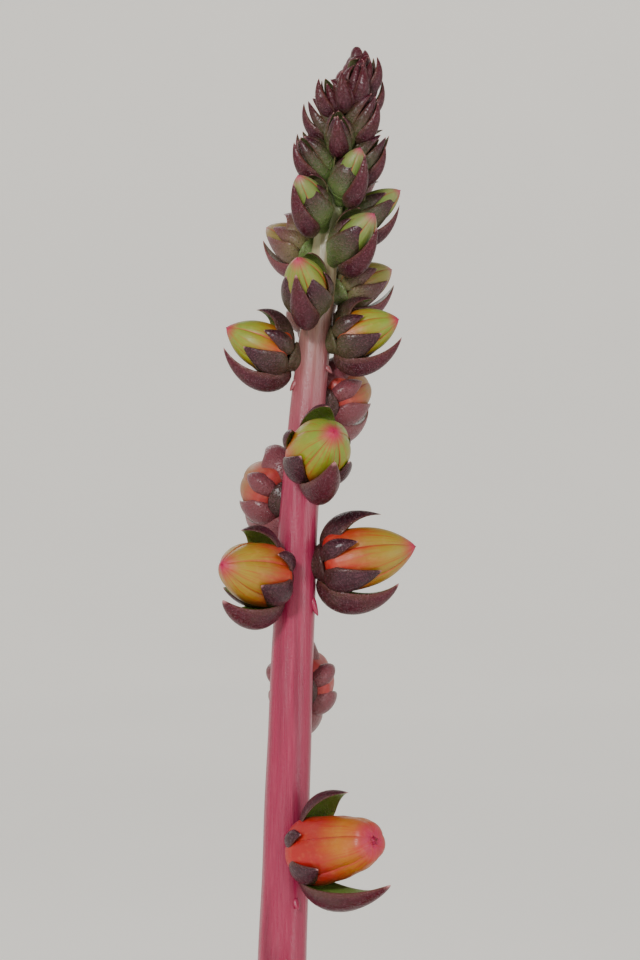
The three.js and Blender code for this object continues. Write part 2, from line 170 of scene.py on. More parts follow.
TIP_BUDS = [
    (98.6, -154, 0, 0, 1),
    (98.4, -12, -2, 0, 1.25),
    (99.8, 92, 0, 0, 1),
    (100.2, 158, 0, 0, 1),
    (101.4, -95, 0, 0, 1),
    (102.7, 50, 0, 0, 1),
    (103.8, 178, -2, 0, 1),
    (103.4, -34, -2, 0, 1.15),
    (104.5, 115, 0, 0, 1),
    (106.3, -148, 2, 0, 1),
    (106.8, -102, 5, 0, 0.8),
    (106.6, 8, 0, 0, 1.1),
    (107.4, -60, 14, 0, 1.2),
    (108.4, 100, 4, 0, 1),
    (109, -15, 8, 0, 1),
    (110.2, 55, 8, 0, 1),
]

# The sepals of a bloom: the way each stands, how far along the tube it reaches on an old and on a young
# bloom, its width, how far it turns towards its tip and how far it stands off the tube
SEPALS = [
    (90, 0.74, 0.9, 5, 0, 1.45),
    (153, 0.45, 1.0, 2.7, 0, 0),
    (27, 0.45, 1.0, 2.7, 0, 0),
    (229, 0.64, 1.1, 4.9, -16, 0),
    (311, 0.64, 1.1, 4.9, 16, 0),
]

# The buds in the head: the ways in which their sepals stand, and their bracts' line, each (s, r)
TIP_SEPALS = (90, 158, 22, 232, 308)
TIP_BRACT = [(-1.6, 0.3), (-0.7, 4.5), (4.6, 5.3), (9.0, 1.7)]
BELOW = 270  # the way in which a bract stands


# Numbers and directions
def mix(a, b, t):
    return a + (b - a) * t


def clamp(value, low=0.0, high=1.0):
    return max(low, min(high, value))


def smoothstep(value, low, high):
    t = clamp((value - low) / (high - low))
    return t * t * (3 - 2 * t)


def sine(degrees):
    return math.sin(math.radians(degrees))


def cosine(degrees):
    return math.cos(math.radians(degrees))


def facing(degrees):
    return Vector((cosine(degrees), sine(degrees), 0))


def through(stops, t):
    """The value at t of a line through stops, each (position, value), eased between them."""
    for (low, a), (high, b) in zip(stops, stops[1:]):
        if t <= high:
            return mix(a, b, smoothstep(t, low, high))
    return stops[-1][1]


def bezier(points, t):
    a, b, c, d = points
    u = 1 - t
    return a * u**3 + b * 3 * u * u * t + c * 3 * u * t * t + d * t**3


def bezier_tangent(points, t):
    a, b, c, d = points
    u = 1 - t
    return ((b - a) * u * u + (c - b) * 2 * u * t + (d - c) * t * t).normalized()


# The flower stem's line
def spline_step(points, spans, weight):
    """A point between the middle two of four, on a spline whose spans are the roots of their distances."""
    p0, p1, p2, p3 = points
    d0, d1, d2 = spans
    start = ((p1 - p0) / d0 - (p2 - p0) / (d0 + d1) + (p2 - p1) / d1) * d1
    end = ((p2 - p1) / d1 - (p3 - p1) / (d1 + d2) + (p3 - p2) / d2) * d1
    square = p1 * -3 + p2 * 3 - start * 2 - end
    cube = p1 * 2 - p2 * 2 + start + end
    return p1 + start * weight + square * weight**2 + cube * weight**3


def stem_point(t):
    first, last = STEM_POINTS[0] * 2 - STEM_POINTS[1], STEM_POINTS[-1] * 2 - STEM_POINTS[-2]
    along = clamp(t) * (len(STEM_POINTS) - 1)
    i = min(int(along), len(STEM_POINTS) - 2)
    points = [first, *STEM_POINTS, last][i : i + 4]
    spans = [(q - p).length ** 0.5 for p, q in zip(points, points[1:])]
    return spline_step(points, spans, along - i)


def stem_tangent(t):
    step = 0.0001
    return (stem_point(min(t + step, 1)) - stem_point(max(t - step, 0))).normalized()


def stem_radius(t):
    along = clamp(t) * (len(STEM_RADII) - 1)
    i = min(int(along), len(STEM_RADII) - 2)
    return mix(STEM_RADII[i], STEM_RADII[i + 1], along - i)


def stem_at(height):
    """The share of the stem's line at which it reaches a height."""
    low, high = 0.0, 1.0
    for _ in range(30):
        middle = (low + high) / 2
        if stem_point(middle).z < height:
            low = middle
        else:
            high = middle
    return low


# Pieces
def balls_rings(bm, sides, rows):
    """Adds a closed ball and gives (vertex, row, turn) for each vertex, for the caller to lay."""
    made = bmesh.ops.create_uvsphere(bm, u_segments=sides, v_segments=rows, radius=1)
    for vert in made["verts"]:
        row = round(math.acos(clamp(vert.co.z, -1, 1)) / math.pi * rows)
        yield vert, row, math.atan2(vert.co.y, vert.co.x)


def new_shape(*layers):
    """An empty bmesh with a named number for each vertex."""
    bm = bmesh.new()
    for name in layers:
        bm.verts.layers.float.new(name)
    return bm


def turned(points, steps, merged, closed=False):
    """A shape turned round the Z axis from its section, whose points within merged of each other join."""
    bm = bmesh.new()
    verts = [bm.verts.new(point) for point in points]
    ends = verts[1:] + verts[:1] if closed else verts[1:]
    section = verts + [bm.edges.new((a, b)) for a, b in zip(verts, ends)]
    middle = Vector((0, 0, 0))
    bmesh.ops.spin(bm, geom=section, axis=UP, cent=middle, angle=math.tau, steps=steps, use_merge=True)
    bmesh.ops.remove_doubles(bm, verts=bm.verts, dist=merged)
    return bm


def mark(bm, vert, **values):
    for name, value in values.items():
        vert[bm.verts.layers.float[name]] = value


def take_in(bm, part):
    """Adds one bmesh to another, which stays quick however many are added."""
    mesh = bpy.data.meshes.new("part")
    part.to_mesh(mesh)
    part.free()
    bm.from_mesh(mesh)
    bpy.data.meshes.remove(mesh)


def smooth_object(bm, name, material):
    """The object of a bmesh, smooth and with its faces outwards, in the scene."""
    bmesh.ops.recalc_face_normals(bm, faces=bm.faces)
    mesh = bpy.data.meshes.new(name)
    bm.to_mesh(mesh)
    bm.free()
    mesh.shade_smooth()
    mesh.materials.append(material)
    made = bpy.data.objects.new(name, mesh)
    bpy.context.scene.collection.objects.link(made)
    return made


def finish_piece(bm, name, skin, nodes, rounds=0):
    """Makes a piece of a bmesh in millimetres: it rides on the plant and stands for the given nodes.

    skin is its material's name, the function that makes it, once, and that function's settings.
    """
    title, finish, settings = skin
    material = bpy.data.materials.get(title) or finish(title, settings)
    bmesh.ops.scale(bm, vec=Vector((MM, MM, MM)), verts=bm.verts)
    piece = smooth_object(bm, name, material)
    if rounds:
        rounding = piece.modifiers.new("Rounding", "SUBSURF")
        rounding.levels = rounds
        rounding.render_levels = rounds
    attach(piece, "root")
    if nodes:
        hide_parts(*nodes)


# A blade's width and thickness, how far it is cupped, the shapes of its two ends, how its thickness
# follows its width and how far its point stands out
Form = namedtuple("Form", "width thickness cup ends belly point", defaults=(1, 0))
CROWDING = 1.35  # how far a blade's rows crowd towards its root, where it bends most
OUTER_SHARE = 0.62  # how much of a blade's thickness lies on its outer side


def fullness(t, rise, fall):
    """0 at both ends and 1 at its fullest: rise shapes the root, fall the tip."""
    peak = rise / (rise + fall)
    return (t**rise * (1 - t) ** fall) / (peak**rise * (1 - peak) ** fall)


def add_blade(bm, midline, inner, form, sides=16, rows=12, **marks):
    """A fleshy blade along a curve, round on its outer side and cupped on its inner side."""
    across = bezier_tangent(midline, 0).cross(inner).normalized()
    for vert, row, turn in balls_rings(bm, sides, rows):
        t = 1 - (1 - row / rows) ** CROWDING
        full = fullness(t, *form.ends)
        sideways = math.cos(turn) * full
        share = OUTER_SHARE if math.sin(turn) < 0 else 1 - OUTER_SHARE
        depth = math.sin(turn) * full**form.belly * form.thickness * share
        normal = across.cross(bezier_tangent(midline, t))
        arch = form.cup * sideways**2 * form.width
        vert.co = bezier(midline, t) + across * (sideways * form.width / 2) + normal * (depth + arch)
        if row == rows:
            vert.co += bezier_tangent(midline, 1) * form.point
        mark(bm, vert, along=t, across=abs(math.cos(turn)), inner=clamp(math.sin(turn)), **marks)


# Materials
def linear(colour):
    """A colour as seen, from 0 to 1, as the shader's own numbers."""
    return tuple(c / 12.92 if c <= 0.04045 else ((c + 0.055) / 1.055) ** 2.4 for c in colour) + (1.0,)


def toned(colour, share, lift=0.0):
    """A colour made darker or paler."""
    return tuple(min(1, c * share + lift) for c in colour)


class Finish:
    """A procedural material in the making: its shader's own values, and the nodes that feed it."""

    def __init__(self, name, values):
        self.material = bpy.data.materials.new(name)
        self.material.use_nodes = True
        self.tree = self.material.node_tree
        self.shader = self.tree.nodes["Principled BSDF"]
        for socket, value in values.items():
            self.shader.inputs[socket].default_value = value

    def add(self, kind, sockets, **settings):
        node = self.tree.nodes.new("ShaderNode" + kind)
        for name, value in settings.items():
            setattr(node, name, value)
        for socket, value in sockets.items():
            self.feed(node.inputs[socket], value)
        return node

    def feed(self, socket, value):
        if isinstance(value, bpy.types.NodeSocket):
            self.tree.links.new(value, socket)
        else:
            socket.default_value = value

    def attribute(self, name):
        return self.add("Attribute", {}, attribute_name=name).outputs["Fac"]

    def place(self, stretch=(1, 1, 1)):
        place = self.add("TexCoord", {}).outputs["Object"]
        return self.add("Mapping", {"Vector": place, "Scale": stretch}).outputs["Vector"]

    def grain(self, scale, detail=3.0, stretch=(1, 1, 1), rough=0.5):
        values = {"Vector": self.place(stretch), "Scale": scale, "Detail": detail, "Roughness": rough}
        return self.add("TexNoise", values).outputs["Fac"]

    def cells(self, scale, stretch=(1, 1, 1)):
        values = {"Vector": self.place(stretch), "Scale": scale}
        return self.add("TexVoronoi", values).outputs["Distance"]

    def lanes(self, lane, along):
        """A grain drawn out lengthwise, for a blade marked with its lane and how far along it is."""
        values = {"X": self.maths("MULTIPLY", lane, 4.5, False), "Y": along}
        place = self.add("CombineXYZ", values).outputs["Vector"]
        return self.add("TexNoise", {"Vector": place, "Scale": 1.6, "Detail": 3.0}).outputs["Fac"]

    def height(self):
        return self.add("SeparateXYZ", {"Vector": self.place()}).outputs["Z"]

    def spread(self, value, low, high, to_low=0.0, to_high=1.0):
        values = {"Value": value, "From Min": low, "From Max": high, "To Min": to_low, "To Max": to_high}
        return self.add("MapRange", values, interpolation_type="SMOOTHSTEP").outputs["Result"]

    def maths(self, operation, a, b, held=True):
        return self.add("Math", {0: a, 1: b}, operation=operation, use_clamp=held).outputs[0]

    def product(self, a, b):
        return self.maths("MULTIPLY", a, b)

    def ramp(self, value, stops):
        node = self.add("ValToRGB", {"Fac": value})
        bands = node.color_ramp.elements
        bands[0].position, bands[0].color = stops[0][0], linear(stops[0][1])
        bands[1].position, bands[1].color = stops[-1][0], linear(stops[-1][1])
        for position, colour in stops[1:-1]:
            bands.new(position).color = linear(colour)
        return node.outputs["Color"]

    def blend(self, factor, a, b):
        """Mixes two colours, each a socket or a colour as seen."""
        node = self.add("Mix", {"Factor": factor}, data_type="RGBA")
        first, second, mixed = node.inputs[6], node.inputs[7], node.outputs[2]
        for socket, colour in ((first, a), (second, b)):
            self.feed(socket, colour if isinstance(colour, bpy.types.NodeSocket) else linear(colour))
        return mixed

    def tint(self, colour, value, low, high, share, tone):
        """Lays a tone over a colour, up to its share, where the value passes from low to high."""
        return self.blend(self.spread(value, low, high, 0, share), colour, tone)

    def done(self, colour, roughness=None, bumps=()):
        """Joins the colour, the roughness and the bumps, each (height, depth in mm), to the shader."""
        self.feed(self.shader.inputs["Base Color"], colour)
        if roughness is not None:
            self.feed(self.shader.inputs["Roughness"], roughness)
        normal = None
        for height, depth in bumps:
            values = {"Height": height, "Strength": 1.0, "Distance": depth * MM}
            if normal:
                values["Normal"] = normal
            normal = self.add("Bump", values).outputs["Normal"]
        if normal:
            self.feed(self.shader.inputs["Normal"], normal)
        return self.material


FLESH = {"Subsurface Weight": 0.12, "Subsurface Radius": (0.0016, 0.0007, 0.0004), "Subsurface Scale": 1.0}


def colour_property(name, description, default):
    return FloatVectorProperty(
        name=name, description=description, default=default, subtype="COLOR_GAMMA", min=0, max=1
    )


def length_property(name, description, default, low=0.0):
    return FloatProperty(
        name=name, description=description, default=default * MM, min=low, unit="LENGTH", precision=4
    )


class PotSettings(bpy.types.PropertyGroup):
    clay: colour_property("Clay", "Colour of the fired clay", (0.72, 0.40, 0.27))
    lime: colour_property("Lime", "Colour of the lime that water leaves on the clay", (0.86, 0.78, 0.70))
    sides: IntProperty(name="Sides", description="Faces round the pot", default=128, min=16, max=256)


class SoilSettings(bpy.types.PropertyGroup):
    earth: colour_property("Earth", "Colour of the soil between the stones", (0.25, 0.19, 0.14))
    stone: colour_property("Stone", "Colour of the palest grit", (0.74, 0.70, 0.63))
    grit_size: length_property("Grit size", "Radius of a usual piece of grit", 1.25)
    grit_count: IntProperty(name="Grit", description="Pieces of grit on the soil", default=760, min=0)


class RosetteSettings(bpy.types.PropertyGroup):
    green: colour_property("Green", "Colour of the leaves' faces", (0.42, 0.56, 0.33))
    heart: colour_property("Heart", "Colour of the youngest leaves", (0.55, 0.66, 0.40))
    edge: colour_property("Edge", "Colour of the leaves' edges and tips", (0.58, 0.22, 0.22))
    bark: colour_property("Bark", "Colour of the woody stem under the leaves", (0.50, 0.42, 0.30))
    tip_length: length_property("Tip", "How far the pointed tip of a leaf stands out", 1.1)


class StemSettings(bpy.types.PropertyGroup):
    low: colour_property("Lower stem", "Colour below the blooms", (0.56, 0.12, 0.26))
    middle: colour_property("Middle of the stem", "Colour among the blooms", (0.52, 0.36, 0.34))
    top: colour_property("Top of the stem", "Colour in the head of buds", (0.60, 0.66, 0.45))
    rib_depth: length_property("Ribs", "Depth of the fine ribs along the stem", 0.03)


class BloomSettings(bpy.types.PropertyGroup):
    coral: colour_property("Coral", "Colour at the base and keel of a ripe petal", (0.64, 0.10, 0.11))
    yellow: colour_property("Yellow", "Colour towards the tip of a ripe petal", (0.67, 0.40, 0.08))
    green: colour_property("Green", "Colour of a young petal", (0.34, 0.45, 0.17))
    pink: colour_property("Pink", "Colour of the petals' tips", (0.66, 0.07, 0.27))
    sepal: colour_property("Sepal", "Colour of the sepals' outer faces", (0.19, 0.05, 0.10))
    wine: colour_property("Wine", "Colour of the bracts towards the top", (0.25, 0.0, 0.07))
    inside: colour_property("Inside", "Colour of the sepals' inner faces", (0.36, 0.47, 0.18))
    petal_lap: length_property("Lap", "How far a petal's one edge stands over the next petal's", 0.09)


class StageSettings(bpy.types.PropertyGroup):
    floor: colour_property("Floor", "Colour of the floor and the studio", (0.82, 0.81, 0.79))
    key: FloatProperty(name="Key light", description="Power of the main light", default=6.5, unit="POWER")
    fill: FloatProperty(
        name="Fill light", description="Power of each of the other lights", default=2.0, unit="POWER"
    )
    sky: FloatProperty(name="Sky", description="Strength of the light all round", default=0.4)
    glow: FloatProperty(name="Glow", description="Strength of the light of the paper itself", default=0.85)


# Pot
def body_radius(z):
    return mix(POT_FOOT_RADIUS, POT_RIM_RADIUS - POT_COLLAR, z / POT_HEIGHT)


def inner_radius(z):
    return body_radius(z) - POT_WALL


def pot_profile():
    """The pot's section, from the drain hole round the outside and the rim back to the hole."""
    shoulder = POT_HEIGHT - POT_RIM_DEPTH
    corners = [
        (DRAIN_RADIUS + 0.6, 0, 0.6),
        (POT_FOOT_RADIUS - 0.3, 0, 1.6),
        (body_radius(shoulder) - 0.1, shoulder, 0.5),
        (POT_RIM_RADIUS - 1.75, shoulder + 0.3, 1.3),
        (POT_RIM_RADIUS, POT_HEIGHT - 2.3, 1.7),
        (POT_RIM_RADIUS - 2.4, POT_HEIGHT, 1.2),
        (inner_radius(POT_HEIGHT) + 0.6, POT_HEIGHT, 1.6),
        (inner_radius(POT_FLOOR), POT_FLOOR, 1.5),
        (DRAIN_RADIUS, POT_FLOOR, 0.6),
    ]
    points = []
    places = [Vector((r, 0, z)) for r, z, _ in corners]
    for i, (corner, (_, _, size)) in enumerate(zip(places, corners)):
        before = places[i - 1] - corner
        after = places[(i + 1) % len(places)] - corner
        start = corner + before.normalized() * min(size, before.length * 0.45)
        end = corner + after.normalized() * min(size, after.length * 0.45)
        for step in range(5):
            t = step / 4
            points.append(start * (1 - t) ** 2 + corner * 2 * t * (1 - t) + end * t * t)
    return points


def clay_finish(name, settings):
    finish = Finish(name, {"Roughness": 0.9, "Specular IOR Level": 0.3})
    pores = finish.grain(2600, 2)
    broad = finish.grain(38, 4, rough=0.6)
    rings = finish.grain(30, 3, stretch=(0.15, 0.15, 28))
    deep = toned(settings.clay, 0.74)
    pale = toned(settings.clay, 1.16, 0.03)
    clay = finish.ramp(broad, [(0.3, deep), (0.52, settings.clay), (0.75, pale)])
    clay = finish.tint(clay, rings, 0.5, 0.72, 0.35, pale)
    crust = finish.spread(finish.grain(330, 5), 0.42, 0.62)
    stain = finish.product(finish.spread(broad, 0.5, 0.68), crust)
    low = finish.spread(finish.height(), 0.002, 0.05, 0.75, 0.12)
    clay = finish.blend(finish.product(stain, low), clay, settings.lime)
    clay = finish.tint(clay, pores, 0.36, 0.3, 0.35, deep)
    return finish.done(clay, bumps=[(rings, 0.12), (finish.grain(700, 3), 0.08), (pores, 0.05)])


class ECHEVERIA_OT_pot(bpy.types.Operator):
    """Adds the clay pot, turned from its section"""

    bl_idname = "echeveria.pot"
    bl_label = "Clay pot"

    def execute(self, context):
        settings = context.scene.echeveria_pot
        bm = turned(pot_profile(), settings.sides, 0.001, closed=True)
        skin = ("fired_clay", clay_finish, settings)
        finish_piece(bm, "clay_pot", skin, ["pot"])
        return {"FINISHED"}


# Soil
def soil_height(x, y):
    """The height of the soil's surface, with its lumps."""
    wall = inner_radius(SOIL_TOP) - GAP
    share = clamp(math.hypot(x, y) / wall)
    mound = SOIL_MOUND * math.sin((1 - share) * math.pi / 2)
    fine = noise.fractal(Vector((x, y, 3)) * 0.55, 1.0, 2.0, 4)
    broad = noise.noise(Vector((x, y, 9)) * 0.14)
    return SOIL_TOP + mound + (0.55 * broad + 0.45 * fine) * min(1, (1 - share) * 6)


def soil_finish(name, settings):
    finish = Finish(name, {"Roughness": 0.97, "Specular IOR Level": 0.2})
    crumbs = finish.grain(900, 6, rough=0.65)
    specks = finish.cells(1100)
    dark = toned(settings.earth, 0.5)
    pale = toned(settings.earth, 1.7)
    earth = finish.ramp(crumbs, [(0.32, dark), (0.5, settings.earth), (0.7, pale)])
    earth = finish.tint(earth, specks, 0.12, 0.02, 0.55, settings.stone)
    return finish.done(earth, bumps=[(crumbs, 0.7), (specks, 0.2)])


def stone_finish(name, settings):
    finish = Finish(name, {"Roughness": 0.85, "Specular IOR Level": 0.3})
    kind = finish.attribute("kind")
    stone = settings.stone
    shades = [
        (0.0, toned(stone, 0.38)),
        (0.22, (0.48, 0.30, 0.22)),
        (0.4, toned(stone, 0.62)),
        (0.6, (0.70, 0.58, 0.44)),
        (0.8, stone),
        (1.0, (0.86, 0.84, 0.79)),
    ]
    colour = finish.ramp(kind, shades)
    pores = finish.grain(2400, 5, rough=0.7)
    colour = finish.tint(colour, pores, 0.55, 0.35, 0.5, (0.2, 0.17, 0.14))
    return finish.done(colour, bumps=[(pores, 0.25)])


class ECHEVERIA_OT_soil(bpy.types.Operator):
    """Adds the soil that fills the pot, with its lumpy top"""

    bl_idname = "echeveria.soil"
    bl_label = "Soil"

    def execute(self, context):
        settings = context.scene.echeveria_soil
        rings, sides = 46, 150
        axis_gap = 0.01
        wall = inner_radius(SOIL_TOP) - GAP
        bottom = POT_FLOOR + GAP
        points = [Vector((axis_gap, 0, bottom)), Vector((inner_radius(bottom) - GAP, 0, bottom))]
        points += [Vector((wall * (1 - i / rings) + axis_gap, 0, SOIL_TOP)) for i in range(rings + 1)]
        bm = turned(points, sides, axis_gap * 3)
        for vert in bm.verts:
            if vert.co.z > SOIL_TOP - 1:
                vert.co.z = soil_height(vert.co.x, vert.co.y)
        skin = ("potting_soil", soil_finish, settings)
        finish_piece(bm, "soil_fill", skin, ["soil"])
        return {"FINISHED"}


GRIT_SIZES = (0.42, 0.5, 0.62, 0.75, 0.9, 1.1, 1.45)  # against the usual size


def add_stone(bm, draw, usual):
    """A piece of grit, somewhere on the soil and partly sunk in it."""
    size = usual * draw.choice(GRIT_SIZES)
    reach = inner_radius(SOIL_TOP) - 1.2 - size * 1.25
    away = mix(CAUDEX_RADIUS + 1 + size, reach, draw.random() ** 0.6)
    place = facing(draw.uniform(0, 360)) * away
    place.z = soil_height(place.x, place.y) + size * draw.uniform(-0.15, 0.3)
    kind = draw.random()
    seed = Vector((draw.random() * 50, 7, 3))
    stretch = Vector((draw.uniform(0.85, 1.25), draw.uniform(0.75, 1.1), draw.uniform(0.5, 0.85)))
    around = Matrix.Rotation(draw.uniform(0, math.tau), 3, "Z")
    turn = around @ Matrix.Rotation(draw.uniform(-0.4, 0.4), 3, "X")
    made = bmesh.ops.create_icosphere(bm, subdivisions=2 if size > usual * 0.7 else 1, radius=1)
    for vert in made["verts"]:
        rough = 1 + 0.3 * noise.noise(vert.co * 1.6 + seed) + 0.08 * noise.noise(vert.co * 5 + seed)
        vert.co = turn @ (vert.co * stretch) * size * rough + place
        mark(bm, vert, kind=kind)


class ECHEVERIA_OT_grit(bpy.types.Operator):
    """Adds the grit and small stones that lie half sunk in the soil"""

    bl_idname = "echeveria.grit"
    bl_label = "Grit"

    def execute(self, context):
        settings = context.scene.echeveria_soil
        draw = random.Random(11)
        bm = new_shape("kind")
        handful = 20
        for _ in range(settings.grit_count // handful):
            stones = new_shape("kind")
            for _ in range(handful):
                add_stone(stones, draw, settings.grit_size / MM)
            take_in(bm, stones)
        skin = ("grit_stone", stone_finish, settings)
        finish_piece(bm, "soil_grit", skin, [])
        return {"FINISHED"}


# Rosette
def leaf_finish(name, settings):
    finish = Finish(name, FLESH | {"Roughness": 0.42, "Specular IOR Level": 0.45})
    along, across, age = (finish.attribute(word) for word in ("along", "across", "age"))
    broad = finish.grain(110, 3)
    face = finish.blend(age, settings.heart, settings.green)
    face = finish.tint(face, broad, 0.4, 0.7, 0.5, toned(settings.green, 1.15, 0.08))
    face = finish.tint(face, along, 0.35, 0.0, 0.6, (0.72, 0.76, 0.55))
    rim = finish.spread(across, 0.86, 1.0, 0, 0.75)
    tip = finish.spread(along, 0.86, 0.99, 0, 0.9)
    outer = finish.product(rim, finish.spread(along, 0.2, 0.75))
    face = finish.blend(finish.maths("MAXIMUM", outer, tip), face, settings.edge)
    dots = finish.cells(2300)
    face = finish.tint(face, dots, 0.22, 0.05, 0.35, (0.80, 0.84, 0.72))
    rough = finish.spread(broad, 0.3, 0.7, 0.34, 0.52)
    return finish.done(face, rough, [(finish.spread(dots, 0.3, 0.0), 0.035), (finish.grain(900, 2), 0.03)])


def add_rosette_leaf(bm, i, tip_length):
    """One leaf of the rosette, widest near its end, with a short point. Leaf 0 is the oldest."""
    age = 1 - i / (LEAF_COUNT - 1)
    length = mix(HEART_LEAF_LENGTH, LEAF_LENGTH, age**0.62)
    direction = FIRST_LEAF + i * GOLDEN_ANGLE
    off = (direction - STEM_SIDE + 180) % 360 - 180
    if age < 0.72 and abs(off) < STEM_ROOM:
        direction = STEM_SIDE + math.copysign(STEM_ROOM, off)
    out = facing(direction)
    root_rise = mix(*ROOT_RISES, age**0.75)
    tip_rise = mix(*TIP_RISES, age**0.9)
    root = HEART * (1 - age) + out * mix(0.5, 3, age)
    root.z = mix(CAUDEX_TOP, SOIL_TOP + 6.5, age)
    rises = (root_rise, (root_rise + tip_rise) / 2, tip_rise)
    midline = [root]
    for rise in rises:
        midline.append(midline[-1] + (out * cosine(rise) + UP * sine(rise)) * (length / 3))
    width = mix(0.5, LEAF_WIDTH / LEAF_LENGTH, age) * length
    thickness = mix(2.6, LEAF_THICKNESS, age)
    form = Form(width, thickness, 0.1, (0.85, 0.5), belly=0.8, point=tip_length * mix(0.5, 1, age))
    add_blade(bm, midline, UP - out, form, sides=20, rows=22, age=age)


class ECHEVERIA_OT_rosette(bpy.types.Operator):
    """Adds the rosette's fleshy leaves"""

    bl_idname = "echeveria.rosette"
    bl_label = "Rosette"

    def execute(self, context):
        settings = context.scene.echeveria_rosette
        bm = new_shape("along", "across", "inner", "age")
        for i in range(LEAF_COUNT):
            add_rosette_leaf(bm, i, settings.tip_length / MM)
        skin = ("fleshy_leaf", leaf_finish, settings)
        finish_piece(bm, "rosette_leaves", skin, ["rosette"], rounds=1)
        return {"FINISHED"}


def bark_finish(name, settings):
    finish = Finish(name, {"Roughness": 0.8})
    rings = finish.grain(260, 4, stretch=(1, 1, 5))
    shades = [(0.3, (0.30, 0.22, 0.15)), (0.5, settings.bark), (0.7, (0.62, 0.58, 0.42))]
    colour = finish.ramp(rings, shades)
    return finish.done(colour, bumps=[(rings, 0.5)])


class ECHEVERIA_OT_caudex(bpy.types.Operator):
    """Adds the short woody stem under the rosette"""

    bl_idname = "echeveria.caudex"
    bl_label = "Woody stem"

    def execute(self, context):
        settings = context.scene.echeveria_rosette
        bm = bmesh.new()
        bottom = SOIL_TOP - CAUDEX_DEPTH + GAP
        rows = 26
        for vert, row, turn in balls_rings(bm, 32, rows):
            share = clamp((row - 1) / (rows - 2))
            z = mix(CAUDEX_TOP, bottom, share)
            radius = mix(CAUDEX_RADIUS * 0.8, CAUDEX_RADIUS, share) if 0 < row < rows else 0
            scar = 0.94 + 0.06 * math.sin(z * 2.4 + 3 * math.sin(turn * 2)) * math.sin(turn * 5 + z)
            vert.co = Vector((math.cos(turn) * radius * scar, math.sin(turn) * radius * scar, z))
        skin = ("caudex_bark", bark_finish, settings)
        finish_piece(bm, "rosette_stem", skin, ["rosette"], rounds=1)
        return {"FINISHED"}


# Flower stem
def stem_finish(name, settings):
    finish = Finish(name, FLESH | {"Roughness": 0.3, "Specular IOR Level": 0.5, "Subsurface Weight": 0.06})
    height = finish.height()
    share = finish.spread(height, 0.255, 0.302)
    shades = [(0.0, settings.low), (0.36, settings.middle), (1.0, settings.top)]
    colour = finish.ramp(share, shades)
    streaks = finish.grain(3600, 4, stretch=(1, 1, 0.022), rough=0.6)
    broad = finish.grain(700, 2, stretch=(1, 1, 0.03))
    colour = finish.tint(colour, streaks, 0.48, 0.75, 0.18, (0.80, 0.36, 0.46))
    colour = finish.tint(colour, broad, 0.52, 0.3, 0.5, toned(settings.low, 0.66))
    rough = finish.spread(streaks, 0.3, 0.7, 0.24, 0.42)
    bumps = [(streaks, 0.05), (broad, 0.05), (finish.grain(3800, 2), 0.03)]
    return finish.done(colour, rough, bumps)


# The small scars and nubs beside the blooms' bases: height above BLOOMS_FROM, direction and length
NUBS = [
    (50.1, -30, 1.5),
    (45.6, -22, 2.6),
    (72.6, -160, 1.6),
    (74.4, -20, 1.2),
    (8.6, -60, 1.6),
    (30.2, 60, 1.4),
]


class ECHEVERIA_OT_flower_stem(bpy.types.Operator):
    """Adds the flower stem, finely ribbed, with the small nubs beside the blooms"""

    bl_idname = "echeveria.flower_stem"
    bl_label = "Flower stem"

    def execute(self, context):
        settings = context.scene.echeveria_stem
        ribs = settings.rib_depth / MM
        bm = bmesh.new()
        rows = 300
        shares = [clamp((row - 1) / (rows - 2)) for row in range(rows + 1)]
        places = [stem_point(t) for t in shares]
        tangents = [stem_tangent(t) for t in shares]
        for vert, row, turn in balls_rings(bm, 44, rows):
            radius = stem_radius(shares[row]) if 0 < row < rows else 0
            place, tangent = places[row], tangents[row]
            right = (Vector((1, 0, 0)) - tangent * tangent.x).normalized()
            back = tangent.cross(right)
            wander = math.sin(place.z * 0.05) + 0.7 * math.sin(place.z * 0.021 + 2)
            rib = ribs * (math.sin(turn * 9 + wander) + 0.6 * math.sin(turn * 5 - wander * 1.7))
            swell = 1 + 0.012 * math.sin(place.z * 0.37 + turn)
            lay = (right * math.cos(turn) + back * math.sin(turn)) * (radius * swell + min(rib, radius))
            vert.co = place + (lay if radius else Vector((0, 0, 0)))
        for height, direction, length in NUBS:
            t = stem_at(BLOOMS_FROM + height)
            out = facing(direction)
            root = stem_point(t) + out * (stem_radius(t) - 0.35)
            nub_rows = 8
            for vert, row, turn in balls_rings(bm, 12, nub_rows):
                share = row / nub_rows
                width = 0.5 * fullness(clamp(share, 0.001, 0.999), 0.5, 0.7)
                lean = out * (0.25 + 0.7 * share**2) - UP * (length * share)
                side = Vector((-out.y, out.x, 0))
                vert.co = root + lean + side * math.cos(turn) * width + out * math.sin(turn) * width * 0.8
        skin = ("stem_skin", stem_finish, settings)
        finish_piece(bm, "spike_stem", skin, ["flower_stem"], rounds=1)
        return {"FINISHED"}


